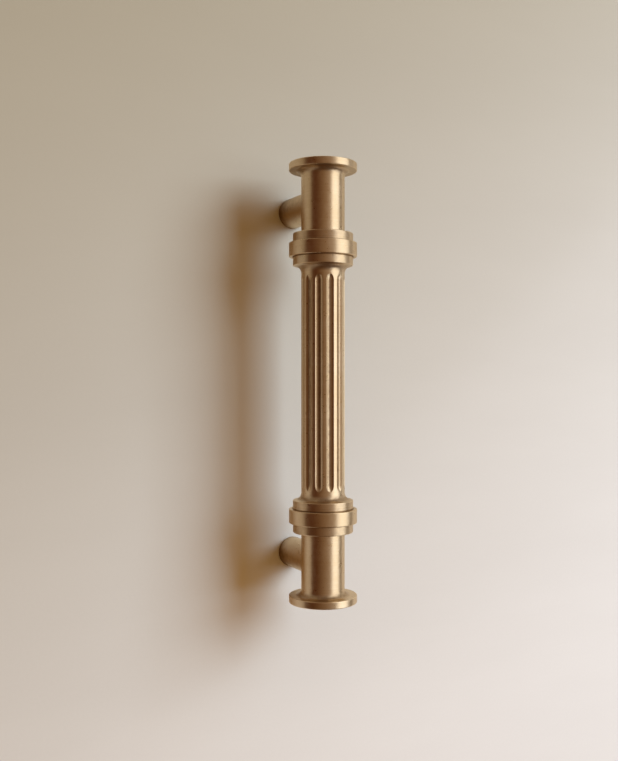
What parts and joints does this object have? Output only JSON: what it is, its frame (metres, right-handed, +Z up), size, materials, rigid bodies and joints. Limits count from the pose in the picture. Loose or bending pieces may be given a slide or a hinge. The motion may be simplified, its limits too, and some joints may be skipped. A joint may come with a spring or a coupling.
{
  "type": "cabinet pull",
  "caption": "Slender turned brass bar pull with a fluted grip between stepped collars and disc ends, held off its door by two round posts tapped for screws.",
  "frame": {"origin": "on the mounting surface, midway between the two screw holes", "axes": "+X to the right along the surface, +Z up the bar, +Y into the door or drawer front, so the pull stands out towards -Y"},
  "size_m": [0.0242, 0.0371, 0.1554],
  "materials": {
    "aged_brass": "aged brass, satin on the open faces, dark brown in the corners and flutes",
    "set_screw_steel": "plain steel"
  },
  "bodies": {
    "root": {"bar": "aged_brass", "upper_post": "aged_brass", "lower_post": "aged_brass", "upper_stud": "set_screw_steel", "lower_stud": "set_screw_steel"}
  },
  "joints": []
}
